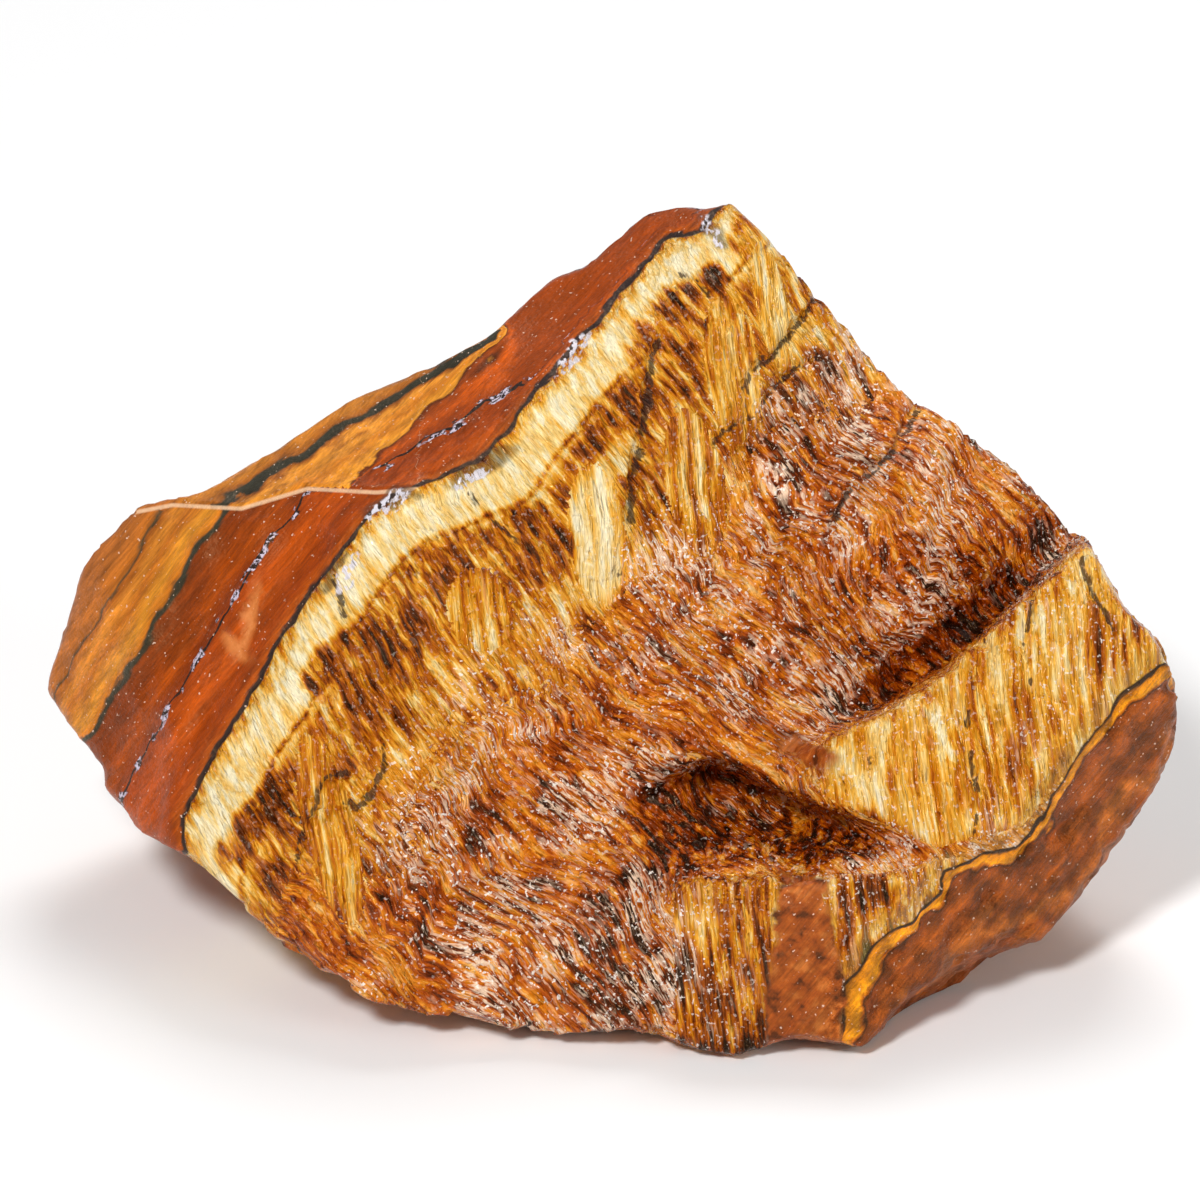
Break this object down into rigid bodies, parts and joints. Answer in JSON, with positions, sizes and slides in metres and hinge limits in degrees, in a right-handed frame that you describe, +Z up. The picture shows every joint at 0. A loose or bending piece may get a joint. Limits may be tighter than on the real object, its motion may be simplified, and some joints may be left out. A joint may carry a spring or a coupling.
{
  "type": "rough tiger's eye stone",
  "caption": "Rough broken piece of tiger's eye: a hollowed face of golden and brown silky fibres between red-brown jasper walls, resting on a flat break.",
  "frame": {"origin": "centre of the bounding box at the level of the flat break that the stone rests on", "axes": "+Z up from the base, -Y toward the hollowed fibre face, +X along the stone's length, from the upper left jasper wall to the lower right one"},
  "size_m": [0.0908, 0.0541, 0.0551],
  "materials": {
    "tigers_eye": "broken chatoyant quartz fibres in cream, gold, amber and dark brown with a glassy sparkle, between satin red-brown and orange jasper walls"
  },
  "bodies": {
    "root": {"rough_stone": "tigers_eye"}
  },
  "joints": []
}
